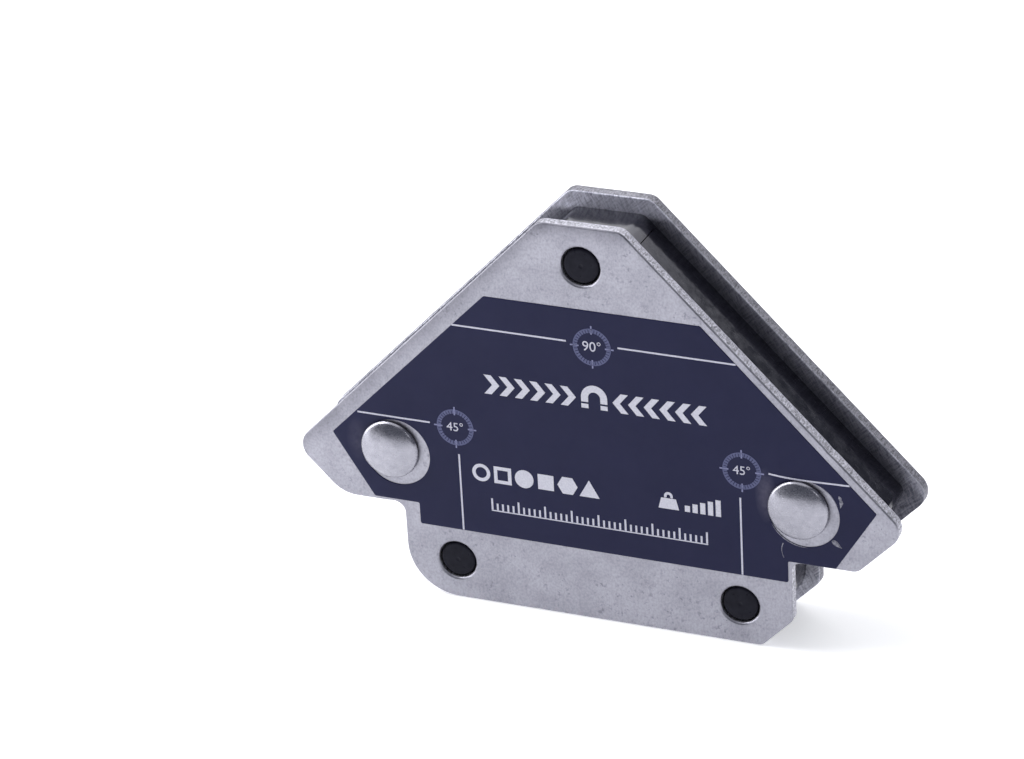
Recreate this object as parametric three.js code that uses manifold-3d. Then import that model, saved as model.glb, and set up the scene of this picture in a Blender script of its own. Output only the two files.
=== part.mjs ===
// Welding magnet holder: an arrow-shaped magnetic square for holding work at 45, 90 and 135 degrees.
// Two stamped steel plates sandwich a moulded carrier with three ferrite blocks. A plastic band closes
// the edge, two rivets through steel sleeves clamp the stack, and plastic plugs locate the plates.
//
// Frame, in millimetres: +Z up, the front plate faces -Y, the holder stands on its lower edges at z = 0,
// and the origin is the middle of the footprint.
import * as THREE from 'three';
import { mergeVertices } from 'three/addons/utils/BufferGeometryUtils.js';
import Module from 'manifold-3d';

// Driving dimensions.
const HEIGHT = 64;              // bottom edge to top edge of the plates
const APEX = 70.4;              // x + z of the 45 degree working edges
const TIP_LINE = 26.1;          // x - z of the 135 degree edges under the arm tips
const BASE_HALF = 30.7;         // half width of the base
const ARM_Z = 14.7;             // underside of the arms
const CHAMFER = 4.9;            // lower right corner of the base
const LOWER_LEFT_R = 8;         // rounding of the lower left corner
const TIP_R_RIGHT = 2;          // rounding under the right arm tip
const TIP_R_LEFT = 5.7;         // rounding under the left arm tip
const PLATE_T = 2.1;            // plate thickness
const CORE_T = 9.9;             // gap between the plates
const EDGE_RECESS = 2.1;        // how far the core lies inside the plate outline
const SLOPE_RECESS = 2.45;      // the same along the top and the 45 degree edges
const BAND_T = 0.9;             // edge band thickness
const CLEAR = 0.15;             // clearance between core pieces

// Plate holes with their plugs, as x and z, and the rivets on the arms.
const TOP_HOLE = [0, 57.8];
const LOW_HOLE = [22.55, 6.3];
const HOLE_R = 3.0;
const PLUG_R = 2.72;
const PLUG_RECESS = 0.3;
const PLUG_STEM_R = 1.9;
const PLUG_STEM_L = 3.4;
const RIVET = [32.2, 23.8];
const RIVET_SHANK_R = 2.4;
const RIVET_BORE_R = 2.7;
const HEAD_R = 4.6;
const HEAD_H = 2.0;
const HEAD_RIM = 0.8;
const HEAD_SEAT_R = 4.2;
const HEAD_SEAT_H = 0.25;
const TAIL_R = 4.0;
const TAIL_H = 1.8;
const SLEEVE_R = 3.9;

// Vinyl label, stuck on slightly to the right of the middle and turned a little clockwise.
const LABEL_T = 0.2;
const LABEL_SHIFT = 1.0;
const LABEL_TURN = 0.3 * Math.PI / 180;
const LABEL_TOP = 51.05;
const LABEL_APEX = 67.8;
const LABEL_BOTTOM = 11.6;
const LABEL_ARM_Z = 15.1;
const LABEL_HALF = 29.2;
const LABEL_TIP = 42.8;
const LABEL_ARM_END = 36.5;
const LABEL_CUT_R = 5.4;
const LABEL_CUTS = [[32.95, 23.2], [-31.25, 23.3]];

// Ferrite blocks: middle x, middle z, width and height. They fill the gap from plate to plate.
const SIDE_BLOCK = [13.1, 25.0, 22.4, 26.4];
const TOP_BLOCK = [0, 46.5, 21.4, 9.4];

const FRONT = -(CORE_T / 2 + PLATE_T);
const CORE_FRONT = -CORE_T / 2;
const ARC_STEP = Math.PI / 12;
const ROUND_SIDES = 28;

const wasm = await Module();
wasm.setup();

// ---- outlines in the x-z plane -------------------------------------------------------------------

// Corners of a symmetric outline from those of its right half, which run upwards as [x, z, radius].
function mirrored(right) {
  const left = right.map(([x, z, r]) => [-x, z, r]).reverse();
  return [...right, ...left];
}

// Offset a counterclockwise outline inwards, keeping its fillets concentric.
function inset(corners, distance) {
  const count = corners.length;
  const moved = [];
  for (let i = 0; i < count; i += 1) {
    const here = new THREE.Vector2(corners[i][0], corners[i][1]);
    const before = new THREE.Vector2(...corners[(i + count - 1) % count].slice(0, 2));
    const after = new THREE.Vector2(...corners[(i + 1) % count].slice(0, 2));
    const into = here.clone().sub(before).normalize();
    const out = after.clone().sub(here).normalize();
    const turn = into.cross(out);
    const normals = new THREE.Vector2(-into.y - out.y, into.x + out.x);
    const shift = normals.multiplyScalar(distance / (1 + into.dot(out)));
    const radius = turn > 0 ? corners[i][2] - distance : corners[i][2] + distance;
    moved.push([here.x + shift.x, here.y + shift.y, Math.max(radius, 0.2)]);
  }
  return moved;
}

// Replace each corner by an arc of its radius.
function rounded(corners) {
  const count = corners.length;
  const points = [];
  for (let i = 0; i < count; i += 1) {
    const [x, z, radius] = corners[i];
    const here = new THREE.Vector2(x, z);
    const into = here.clone().sub(new THREE.Vector2(...corners[(i + count - 1) % count].slice(0, 2)));
    const out = new THREE.Vector2(...corners[(i + 1) % count].slice(0, 2)).sub(here);
    into.normalize();
    out.normalize();
    const angle = Math.atan2(into.cross(out), into.dot(out));
    const side = Math.sign(angle);
    const reach = radius * Math.tan(Math.abs(angle) / 2);
    const centre = here.clone().addScaledVector(into, -reach);
    centre.add(new THREE.Vector2(-into.y, into.x).multiplyScalar(radius * side));
    const start = Math.atan2(-into.x * side, into.y * side);
    const steps = Math.max(2, Math.ceil(Math.abs(angle) / ARC_STEP));
    for (let s = 0; s <= steps; s += 1) {
      const a = start + (angle * s) / steps;
      points.push(new THREE.Vector2(centre.x + radius * Math.cos(a), centre.y + radius * Math.sin(a)));
    }
  }
  return points;
}

function circle([x, z], radius) {
  const points = [];
  for (let i = 0; i < ROUND_SIDES; i += 1) {
    const a = (2 * Math.PI * i) / ROUND_SIDES;
    points.push(new THREE.Vector2(x + radius * Math.cos(a), z + radius * Math.sin(a)));
  }
  return points;
}

function rectangle([x, z, width, height], grow = 0) {
  const w = width / 2 + grow;
  const h = height / 2 + grow;
  const signs = [[-1, -1], [1, -1], [1, 1], [-1, 1]];
  return signs.map(([sx, sz]) => new THREE.Vector2(x + sx * w, z + sz * h));
}

const flip = ([x, ...rest]) => [-x, ...rest];
const bothSides = (place) => [place, flip(place)];

const plateOutline = [
  [BASE_HALF - CHAMFER, 0, 1.5],
  [BASE_HALF, CHAMFER, 1.5],
  [BASE_HALF, ARM_Z, 1.6],
  [ARM_Z + TIP_LINE, ARM_Z, TIP_R_RIGHT],
  ...mirrored([
    [(APEX + TIP_LINE) / 2, (APEX - TIP_LINE) / 2, 2.8],
    [APEX - HEIGHT, HEIGHT, 2.2],
  ]),
  [-ARM_Z - TIP_LINE, ARM_Z, TIP_R_LEFT],
  [-BASE_HALF, ARM_Z, 1.6],
  [-BASE_HALF, 0, LOWER_LEFT_R],
];

const coreSum = APEX - SLOPE_RECESS * Math.SQRT2;
const coreTop = HEIGHT - SLOPE_RECESS;
const coreOutline = [
  [BASE_HALF - EDGE_RECESS, EDGE_RECESS, 5],
  ...mirrored([
    [BASE_HALF - EDGE_RECESS, ARM_Z + EDGE_RECESS, 1.6],
    [41.5, ARM_Z + EDGE_RECESS, 1.2],
    [44.1, coreSum - 44.1, 1.3],
    [coreSum - coreTop, coreTop, 2.2],
  ]),
  [EDGE_RECESS - BASE_HALF, EDGE_RECESS, LOWER_LEFT_R - EDGE_RECESS],
];

const labelOutline = mirrored([
  [LABEL_HALF, LABEL_BOTTOM, 0.3],
  [LABEL_HALF, LABEL_ARM_Z, 0.3],
  [LABEL_ARM_END, LABEL_ARM_Z, 0.3],
  [LABEL_TIP, LABEL_APEX - LABEL_TIP, 0.3],
  [LABEL_APEX - LABEL_TOP, LABEL_TOP, 0.5],
]);

// ---- solids --------------------------------------------------------------------------------------

// Extrude an outline of the x-z plane from y = front to y = front + depth.
function slab(outline, holes, front, depth) {
  const shape = new THREE.Shape(outline);
  shape.holes = holes.map((hole) => new THREE.Path(hole));
  const geometry = new THREE.ExtrudeGeometry(shape, { depth, bevelEnabled: false });
  geometry.rotateX(Math.PI / 2);
  geometry.translate(0, front + depth, 0);
  return geometry;
}

// Turn a profile of [radius, y] points about a line along +Y through [x, z].
function turned(profile, [x, z]) {
  const points = profile.map(([radius, y]) => new THREE.Vector2(radius, y));
  const geometry = new THREE.LatheGeometry(points, ROUND_SIDES);
  geometry.translate(x, 0, z);
  return geometry;
}

function toManifold(geometry) {
  const bare = geometry.clone();
  bare.deleteAttribute('normal');
  bare.deleteAttribute('uv');
  const merged = mergeVertices(bare, 1e-5);
  return new wasm.Manifold(new wasm.Mesh({
    numProp: 3,
    vertProperties: new Float32Array(merged.attributes.position.array),
    triVerts: new Uint32Array(merged.index.array),
  }));
}

function cut(geometry, tools) {
  const solid = tools.reduce((rest, tool) => rest.subtract(toManifold(tool)), toManifold(geometry));
  const mesh = solid.getMesh();
  const result = new THREE.BufferGeometry();
  result.setAttribute('position', new THREE.BufferAttribute(new Float32Array(mesh.vertProperties), 3));
  result.setIndex(new THREE.BufferAttribute(new Uint32Array(mesh.triVerts), 1));
  return result;
}

function plate(front) {
  const holes = [TOP_HOLE, ...bothSides(LOW_HOLE)].map((place) => circle(place, HOLE_R));
  const bores = bothSides(RIVET).map((place) => circle(place, RIVET_BORE_R));
  return slab(rounded(plateOutline), [...holes, ...bores], front, PLATE_T);
}

// The band is a strip bent round the core. Its ends meet on the right slope, just under the top corner.
function edgeBand() {
  const jointX = 7.1;
  const jointGap = 0.35;
  const inner = rounded(inset(coreOutline, BAND_T));
  const ring = slab(rounded(coreOutline), [inner], CORE_FRONT, CORE_T);
  const blade = new THREE.BoxGeometry(jointGap, CORE_T + 2, 4 * BAND_T);
  blade.rotateY(Math.PI / 4);
  blade.translate(jointX, 0, coreSum - jointX);
  return cut(ring, [blade]);
}

function carrier() {
  const sockets = [TOP_HOLE, ...bothSides(LOW_HOLE)].map((place) => circle(place, PLUG_STEM_R + CLEAR));
  const eyes = bothSides(RIVET).map((place) => circle(place, SLEEVE_R + CLEAR));
  const pockets = [...bothSides(SIDE_BLOCK), TOP_BLOCK].map((block) => rectangle(block, 2 * CLEAR));
  const body = slab(rounded(inset(coreOutline, BAND_T + CLEAR)), [], CORE_FRONT, CORE_T);
  const cores = [...sockets, ...eyes, ...pockets];
  return cut(body, cores.map((core) => slab(core, [], CORE_FRONT - 1, CORE_T + 2)));
}

// A round cap in the plate hole, with a stem that goes into the carrier. side is -1 in front, 1 behind.
function plug(side, place) {
  const face = CORE_T / 2 + PLATE_T - PLUG_RECESS;
  const edge = 0.25;
  const profile = [
    [0, CORE_T / 2 - PLUG_STEM_L],
    [PLUG_STEM_R - edge, CORE_T / 2 - PLUG_STEM_L],
    [PLUG_STEM_R, CORE_T / 2 - PLUG_STEM_L + 2 * edge],
    [PLUG_STEM_R, CORE_T / 2],
    [PLUG_R, CORE_T / 2],
    [PLUG_R, face - edge],
    [PLUG_R - edge, face],
    [0, face],
  ];
  const geometry = turned(profile, [0, 0]);
  if (side < 0) {
    geometry.rotateX(Math.PI);
  }
  geometry.translate(place[0], 0, place[1]);
  return geometry;
}

// Domed head in front, its rim standing clear of the label, then the shank, and a clinched tail with a
// dimple behind.
function rivet(place) {
  const back = -FRONT;
  const profile = [];
  const domeSteps = 7;
  for (let i = 0; i <= domeSteps; i += 1) {
    const share = i / domeSteps;
    const rise = (HEAD_H - HEAD_RIM) * (1 - share * share);
    profile.push([HEAD_R * share, FRONT - HEAD_RIM - rise]);
  }
  profile.push([HEAD_R, FRONT - HEAD_SEAT_H], [HEAD_SEAT_R, FRONT - HEAD_SEAT_H]);
  profile.push([HEAD_SEAT_R, FRONT], [RIVET_SHANK_R, FRONT], [RIVET_SHANK_R, back]);
  profile.push([TAIL_R, back], [TAIL_R, back + 0.5], [TAIL_R - 0.5, back + 1.3]);
  profile.push([TAIL_R - 1.3, back + TAIL_H], [1.7, back + TAIL_H], [1.2, back + 1.1], [0, back + 0.9]);
  return turned(profile, place);
}

function sleeve(place) {
  const half = CORE_T / 2;
  const profile = [
    [RIVET_BORE_R, -half],
    [SLEEVE_R, -half],
    [SLEEVE_R, half],
    [RIVET_BORE_R, half],
    [RIVET_BORE_R, -half],
  ];
  return turned(profile, place);
}

function label() {
  const outline = rounded(labelOutline);
  const pivot = new THREE.Vector2(0, 0);
  const shift = new THREE.Vector2(LABEL_SHIFT, 0);
  outline.forEach((point) => point.rotateAround(pivot, -LABEL_TURN).add(shift));
  const cuts = LABEL_CUTS.map((place) => circle(place, LABEL_CUT_R));
  return slab(outline, cuts, FRONT - LABEL_T, LABEL_T);
}

function block(size) {
  return slab(rectangle(size), [], CORE_FRONT, CORE_T);
}

// ---- assembly ------------------------------------------------------------------------------------

const finishes = {
  steel: { color: 0xa9a8b3, roughness: 0.42, metalness: 0.9 },
  rivet: { color: 0xb2b1bb, roughness: 0.3, metalness: 0.95 },
  vinyl: { color: 0x26264a, roughness: 0.5, metalness: 0 },
  gloss: { color: 0x08080b, roughness: 0.15, metalness: 0 },
  carrier: { color: 0x1c1c20, roughness: 0.5, metalness: 0 },
  ferrite: { color: 0x33312f, roughness: 0.7, metalness: 0.1 },
};

const holder = new THREE.Group();

function add(name, geometry, finish) {
  const mesh = new THREE.Mesh(geometry, new THREE.MeshStandardMaterial(finishes[finish]));
  mesh.name = name;
  holder.add(mesh);
}

add('front_plate', plate(FRONT), 'steel');
add('rear_plate', plate(CORE_T / 2), 'steel');
add('edge_band', edgeBand(), 'gloss');
add('magnet_carrier', carrier(), 'carrier');
add('magnet_top', block(TOP_BLOCK), 'ferrite');
add('front_label', label(), 'vinyl');

for (const [side, mirror] of [['right', (place) => place], ['left', flip]]) {
  add(`magnet_${side}`, block(mirror(SIDE_BLOCK)), 'ferrite');
  add(`rivet_${side}`, rivet(mirror(RIVET)), 'rivet');
  add(`spacer_sleeve_${side}`, sleeve(mirror(RIVET)), 'steel');
}

for (const [face, side] of [['front', -1], ['rear', 1]]) {
  add(`hole_plug_${face}_top`, plug(side, TOP_HOLE), 'gloss');
  add(`hole_plug_${face}_right`, plug(side, LOW_HOLE), 'gloss');
  add(`hole_plug_${face}_left`, plug(side, flip(LOW_HOLE)), 'gloss');
}

export default holder;
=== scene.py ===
"""Looks of the welding magnet holder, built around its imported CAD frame.

Lengths in this script are millimetres in the part's own frame: +Z up, the labelled front faces -Y,
z = 0 is the surface that the holder stands on. MM turns them into Blender's metres. Profiles are
lists of (inset or radius, depth), and outlines are lists of points in the x-z plane.
"""
import math

import bmesh
import bpy
import numpy as np
from mathutils import Matrix, Vector, noise
from mathutils.geometry import delaunay_2d_cdt

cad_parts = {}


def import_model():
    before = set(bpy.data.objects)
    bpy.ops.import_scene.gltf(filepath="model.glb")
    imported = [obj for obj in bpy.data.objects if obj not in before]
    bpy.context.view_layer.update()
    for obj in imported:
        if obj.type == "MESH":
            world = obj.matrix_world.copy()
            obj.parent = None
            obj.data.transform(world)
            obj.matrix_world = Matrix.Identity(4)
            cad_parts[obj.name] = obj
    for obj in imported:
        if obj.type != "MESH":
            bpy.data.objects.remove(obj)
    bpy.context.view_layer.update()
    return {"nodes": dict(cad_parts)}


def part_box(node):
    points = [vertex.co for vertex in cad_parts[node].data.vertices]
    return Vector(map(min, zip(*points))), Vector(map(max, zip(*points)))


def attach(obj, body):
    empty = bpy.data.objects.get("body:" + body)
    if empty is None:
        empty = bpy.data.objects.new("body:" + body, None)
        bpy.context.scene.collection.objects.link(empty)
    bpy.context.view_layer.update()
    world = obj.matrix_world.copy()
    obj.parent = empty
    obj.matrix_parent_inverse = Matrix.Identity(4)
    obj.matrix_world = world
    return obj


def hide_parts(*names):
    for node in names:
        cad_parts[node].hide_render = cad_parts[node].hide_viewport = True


MM = 0.001
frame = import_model()

# ---- sizes, the same as the CAD part's -----------------------------------------------------------

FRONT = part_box("front_plate")[0].y / MM
CORE_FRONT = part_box("front_plate")[1].y / MM
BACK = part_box("rear_plate")[1].y / MM
CORE_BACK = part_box("rear_plate")[0].y / MM
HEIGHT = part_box("front_plate")[1].z / MM
PLATE_T = CORE_FRONT - FRONT
BASE_HALF = 30.7
CHAMFER = 4.9
ARM_Z = 14.7
APEX = 70.4
TIP_LINE = 26.1
LOWER_LEFT_R = 8.0
TIP_R_RIGHT = 2.0
TIP_R_LEFT = 5.7
EDGE_RECESS = 2.1
SLOPE_RECESS = 2.45
BAND_T = 0.9
JOINT_X = 7.1

HOLES = {"top": (0.0, 57.8), "right": (22.55, 6.3), "left": (-22.55, 6.3)}
HOLE_R = 3.0
PLUG_R = 2.72
PLUG_RECESS = 0.3
STEM_R = 1.9
RIVETS = {"right": (32.2, 23.8), "left": (-32.2, 23.8)}
RIVET_BORE_R = 2.7
SHANK_R = 2.4
HEAD_R = 4.6
HEAD_H = 2.0
HEAD_RIM = 0.8
HEAD_SEAT_R = 4.2
HEAD_SEAT_H = 0.25
TAIL_R = 4.0
TAIL_H = 1.8

LABEL_SHIFT = 1.0
LABEL_TURN = math.radians(0.3)
LABEL_TOP = 51.05
LABEL_APEX = 67.8
LABEL_BOTTOM = 11.6
LABEL_ARM_Z = 15.1
LABEL_HALF = 29.2
LABEL_TIP = 42.8
LABEL_ARM_END = 36.5
LABEL_CUTS = {"right": (32.95, 23.2), "left": (-31.25, 23.3)}
LABEL_CUT_R = 5.4

# ---- sizes that the CAD leaves out or has coarser ------------------------------------------------

JOINT_GAP = 0.14
LABEL_T = 0.09
BOW = 0.06
BOW_REACH = 0.95


def mirrored(right):
    """Corners (x, z, radius) of a symmetric stretch, from its right half's, which run upwards."""
    return right + [(-x, z, r) for x, z, r in reversed(right)]


PLATE_CORNERS = (
    [(BASE_HALF - CHAMFER, 0, 1.5), (BASE_HALF, CHAMFER, 1.5), (BASE_HALF, ARM_Z, 1.6)]
    + [(ARM_Z + TIP_LINE, ARM_Z, TIP_R_RIGHT)]
    + mirrored([((APEX + TIP_LINE) / 2, (APEX - TIP_LINE) / 2, 2.8), (APEX - HEIGHT, HEIGHT, 2.2)])
    + [(-ARM_Z - TIP_LINE, ARM_Z, TIP_R_LEFT), (-BASE_HALF, ARM_Z, 1.6)]
    + [(-BASE_HALF, 0, LOWER_LEFT_R)]
)
CORE_SUM = APEX - SLOPE_RECESS * math.sqrt(2)
CORE_TOP = HEIGHT - SLOPE_RECESS
CORE_HALF = BASE_HALF - EDGE_RECESS
CORE_CORNERS = (
    [(CORE_HALF, EDGE_RECESS, 5.0)]
    + mirrored([
        (CORE_HALF, ARM_Z + EDGE_RECESS, 1.6),
        (41.5, ARM_Z + EDGE_RECESS, 1.2),
        (44.1, CORE_SUM - 44.1, 1.3),
        (CORE_SUM - CORE_TOP, CORE_TOP, 2.2),
    ])
    + [(-CORE_HALF, EDGE_RECESS, LOWER_LEFT_R - EDGE_RECESS)]
)
LABEL_CORNERS = mirrored([
    (LABEL_HALF, LABEL_BOTTOM, 0.3),
    (LABEL_HALF, LABEL_ARM_Z, 0.3),
    (LABEL_ARM_END, LABEL_ARM_Z, 0.3),
    (LABEL_TIP, LABEL_APEX - LABEL_TIP, 0.3),
    (LABEL_APEX - LABEL_TOP, LABEL_TOP, 0.5),
])


# ---- outlines: points in the x-z plane, with normals that point out of the material --------------

def outline(corners, arc_step=math.radians(6), straight_step=1.2):
    """Points and outward normals of a counterclockwise outline with rounded corners."""
    points, normals = [], []
    count = len(corners)
    for i, (x, z, radius) in enumerate(corners):
        into, out, angle, reach = turn_at(corners, i)
        side = math.copysign(1, angle)
        centre = np.array((x, z)) - into * reach + side * radius * np.array((-into[1], into[0]))
        start = math.atan2(-into[0] * side, into[1] * side)
        steps = max(3, math.ceil(abs(angle) / arc_step))
        for a in np.linspace(start, start + angle, steps + 1):
            direction = np.array((math.cos(a), math.sin(a)))
            points.append(centre + radius * direction)
            normals.append(side * direction)
        after = (i + 1) % count
        straight_start = points[-1]
        straight_end = np.array(corners[after][:2]) - out * turn_at(corners, after)[3]
        length = np.linalg.norm(straight_end - straight_start)
        for share in np.linspace(0, 1, max(2, round(length / straight_step)) + 1)[1:-1]:
            points.append(straight_start + share * (straight_end - straight_start))
            normals.append(np.array((out[1], -out[0])))
    return np.array(points), np.array(normals)


def turn_at(corners, i):
    """Directions into and out of a corner, the angle between them, and where its arc starts."""
    here = np.array(corners[i][:2])
    before = np.array(corners[i - 1][:2])
    after = np.array(corners[(i + 1) % len(corners)][:2])
    into = (here - before) / np.linalg.norm(here - before)
    out = (after - here) / np.linalg.norm(after - here)
    angle = math.atan2(into[0] * out[1] - into[1] * out[0], into @ out)
    return into, out, angle, corners[i][2] * math.tan(abs(angle) / 2)


def hole_outline(centre, radius, sides=72):
    """A hole's points, clockwise, with normals that point to its centre."""
    a = -2 * math.pi * np.arange(sides) / sides
    direction = np.stack((np.cos(a), np.sin(a)), 1)
    return np.array(centre) + radius * direction, -direction


def inside(points, loops):
    """Which points lie inside the loops, by the even-odd rule."""
    odd = np.zeros(len(points), bool)
    for loop in loops:
        a, b = loop, np.roll(loop, -1, 0)
        for (ax, az), (bx, bz) in zip(a, b):
            crosses = (az > points[:, 1]) != (bz > points[:, 1])
            if abs(bz - az) > 1e-12:
                odd ^= crosses & (points[:, 0] < (bx - ax) * (points[:, 1] - az) / (bz - az) + ax)
    return odd


# ---- mesh building -------------------------------------------------------------------------------

SMALLEST_FACE = 1e-4
MERGE_DISTANCE = 1e-7


class Builder:
    """Collects vertices, given in millimetres, and faces with a material index."""

    def __init__(self):
        self.vertices, self.faces, self.materials = [], [], []

    def ring(self, flat, y):
        """Adds a ring of x-z points at one depth y, or at one for each. Returns its indices."""
        first = len(self.vertices)
        depths = np.broadcast_to(y, len(flat))
        self.vertices += [(x, d, z) for (x, z), d in zip(flat, depths)]
        return list(range(first, len(self.vertices)))

    def loft(self, rings, material=0, closed=True):
        """Joins rings of equal length with quads."""
        for low, high in zip(rings, rings[1:]):
            last = len(low) if closed else len(low) - 1
            for i in range(last):
                j = (i + 1) % len(low)
                self.faces.append((low[i], low[j], high[j], high[i]))
                self.materials.append(material)

    def cap(self, rings, y, material=0, spacing=None):
        """Fills the first ring apart from the others' insides. spacing adds a grid of points."""
        ids = [i for ring in rings for i in ring]
        loops = [np.array([self.vertices[i][::2] for i in ring]) for ring in rings]
        flat = np.concatenate(loops)
        edges, start = [], 0
        for loop in loops:
            edges += [(start + i, start + (i + 1) % len(loop)) for i in range(len(loop))]
            start += len(loop)
        if spacing:
            grid = inner_grid(loops, spacing)
            ids += self.ring(grid, y)
            flat = np.concatenate((flat, grid))
        found = delaunay_2d_cdt([Vector(p) for p in flat], edges, [], 0, MERGE_DISTANCE)
        corners, triangles, sources = found[0], np.array(found[2]), found[3]
        at = np.array(corners)[triangles]
        area = np.abs(np.cross(at[:, 1] - at[:, 0], at[:, 2] - at[:, 0])) / 2
        for triangle, kept in zip(triangles, inside(at.mean(1), loops) & (area > SMALLEST_FACE)):
            if kept:
                self.faces.append(tuple(ids[sources[i][0]] for i in triangle))
                self.materials.append(material)

    def mesh(self, name, sharp=math.radians(40)):
        """A mesh with outward normals, smooth but for edges sharper than that angle."""
        data = bpy.data.meshes.new(name)
        data.from_pydata([Vector(v) * MM for v in self.vertices], [], self.faces)
        data.polygons.foreach_set("material_index", self.materials)
        data.polygons.foreach_set("use_smooth", [True] * len(self.faces))
        work = bmesh.new()
        work.from_mesh(data)
        bmesh.ops.recalc_face_normals(work, faces=work.faces)
        work.to_mesh(data)
        work.free()
        data.set_sharp_from_angle(angle=sharp)
        return data


def inner_grid(loops, spacing):
    """Staggered grid points inside the loops, kept off their edges."""
    low = loops[0].min(0)
    high = loops[0].max(0)
    rows = np.arange(low[1] + spacing / 2, high[1], spacing * 0.87)
    columns = np.arange(low[0] + spacing / 2, high[0], spacing)
    grid = np.array([(x + (k % 2) * spacing / 2, z) for k, z in enumerate(rows) for x in columns])
    grid = grid[inside(grid, loops)]
    edge = np.concatenate(loops)
    distance = np.min(np.linalg.norm(grid[:, None] - edge[None], axis=2), axis=1)
    return grid[distance > spacing * 0.6]


def place(data, name, materials, node=None):
    """Makes the piece, which rides on the one body and may stand for a CAD node."""
    piece = bpy.data.objects.new(name, data)
    bpy.context.scene.collection.objects.link(piece)
    for material in materials:
        piece.data.materials.append(material)
    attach(piece, "root")
    if node:
        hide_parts(node)
    return piece


def turned(profile, centre, sides=96):
    """A closed solid turned about a line along Y, where its (radius, y) points start and end."""
    builder = Builder()
    a = 2 * math.pi * np.arange(sides) / sides
    direction = np.stack((np.cos(a), np.sin(a)), 1)
    rings = [builder.ring(np.array(centre) + r * direction, y) for r, y in profile[1:-1]]
    builder.loft(rings)
    for tip, ring in ((profile[0], rings[0]), (profile[-1], rings[-1])):
        middle = builder.ring([centre], tip[1])[0]
        builder.faces += [(middle, ring[i], ring[(i + 1) % sides]) for i in range(sides)]
        builder.materials += [0] * sides
    return builder


# ---- materials -----------------------------------------------------------------------------------

class Shader:
    """A node material whose textures are measured in millimetres on the object."""

    def __init__(self, name, metallic=0.0, roughness=0.5, **values):
        self.material = bpy.data.materials.new(name)
        self.material.use_nodes = True
        self.nodes = self.material.node_tree.nodes
        self.links = self.material.node_tree.links
        self.bsdf = self.nodes["Principled BSDF"]
        self.bsdf.inputs["Metallic"].default_value = metallic
        self.bsdf.inputs["Roughness"].default_value = roughness
        for socket, value in values.items():
            self.bsdf.inputs[socket.replace("_", " ")].default_value = value
        self.position = self.nodes.new("ShaderNodeTexCoord").outputs["Object"]
        self.relief = None

    def join(self, source, target):
        self.links.new(source, target)

    def noise(self, per_mm, detail=4.0, roughness=0.55, turn=0.0, distortion=0.0):
        """Noise from 0 to 1. per_mm is its frequency along X, Y and Z, after a turn about Y."""
        turning = self.nodes.new("ShaderNodeMapping")
        turning.inputs["Rotation"].default_value = (0, turn, 0)
        self.join(self.position, turning.inputs["Vector"])
        mapping = self.nodes.new("ShaderNodeMapping")
        mapping.inputs["Scale"].default_value = [f / MM for f in np.broadcast_to(per_mm, 3)]
        self.join(turning.outputs["Vector"], mapping.inputs["Vector"])
        texture = self.nodes.new("ShaderNodeTexNoise")
        texture.inputs["Scale"].default_value = 1.0
        texture.inputs["Detail"].default_value = detail
        texture.inputs["Roughness"].default_value = roughness
        texture.inputs["Distortion"].default_value = distortion
        self.join(mapping.outputs["Vector"], texture.inputs["Vector"])
        return texture.outputs["Fac"]

    def spot(self, centre, reach):
        """A soft spot: 1 at the centre, 0 from the reach on. Both are X, Y and Z in millimetres."""
        mapping = self.nodes.new("ShaderNodeMapping")
        mapping.inputs["Scale"].default_value = [1 / (r * MM) for r in reach]
        mapping.inputs["Location"].default_value = [-c / r for c, r in zip(centre, reach)]
        self.join(self.position, mapping.inputs["Vector"])
        texture = self.nodes.new("ShaderNodeTexGradient")
        texture.gradient_type = "SPHERICAL"
        self.join(mapping.outputs["Vector"], texture.inputs["Vector"])
        return texture.outputs["Fac"]

    def toward(self, direction, start, end):
        """0 before start and 1 past end, both in millimetres along a direction."""
        along = self.nodes.new("ShaderNodeVectorMath")
        along.operation = "DOT_PRODUCT"
        along.inputs[1].default_value = direction
        self.join(self.position, along.inputs[0])
        share = self.nodes.new("ShaderNodeMapRange")
        share.interpolation_type = "SMOOTHSTEP"
        share.inputs["From Min"].default_value = start * MM
        share.inputs["From Max"].default_value = end * MM
        self.join(along.outputs["Value"], share.inputs["Value"])
        return share.outputs["Result"]

    def ramp(self, source, stops):
        """A ramp of stops, each (position, value or colour)."""
        node = self.nodes.new("ShaderNodeValToRGB")
        elements = node.color_ramp.elements
        while len(elements) < len(stops):
            elements.new(0.5)
        for element, (at, value) in zip(elements, stops):
            element.position = at
            colour = value if hasattr(value, "__len__") else (value,) * 3
            element.color = (*colour, 1)
        self.join(source, node.inputs["Fac"])
        return node.outputs["Color"]

    def mix(self, factor, first, second, blend="MIX"):
        """Mixes two colours, each a socket or a colour. factor is a socket or a number."""
        node = self.nodes.new("ShaderNodeMix")
        node.data_type = "RGBA"
        node.blend_type = blend
        for index, value in ((0, factor), (6, first), (7, second)):
            socket = node.inputs[index]
            if isinstance(value, bpy.types.NodeSocket):
                self.join(value, socket)
            elif hasattr(value, "__len__"):
                socket.default_value = (*value, 1)
            else:
                socket.default_value = value
        return node.outputs[2]

    def bump(self, source, distance, strength=1.0):
        """Adds relief of that depth in millimetres, on top of any before it."""
        node = self.nodes.new("ShaderNodeBump")
        node.inputs["Distance"].default_value = distance * MM
        node.inputs["Strength"].default_value = strength
        self.join(source, node.inputs["Height"])
        if self.relief:
            self.join(self.relief, node.inputs["Normal"])
        self.relief = node.outputs["Normal"]
        self.join(self.relief, self.bsdf.inputs["Normal"])

    def multiply(self, first, second):
        return self.mix(1.0, first, second, "MULTIPLY")

    def colour(self, source):
        self.join(source, self.bsdf.inputs["Base Color"])

    def rough(self, source):
        self.join(source, self.bsdf.inputs["Roughness"])


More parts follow.
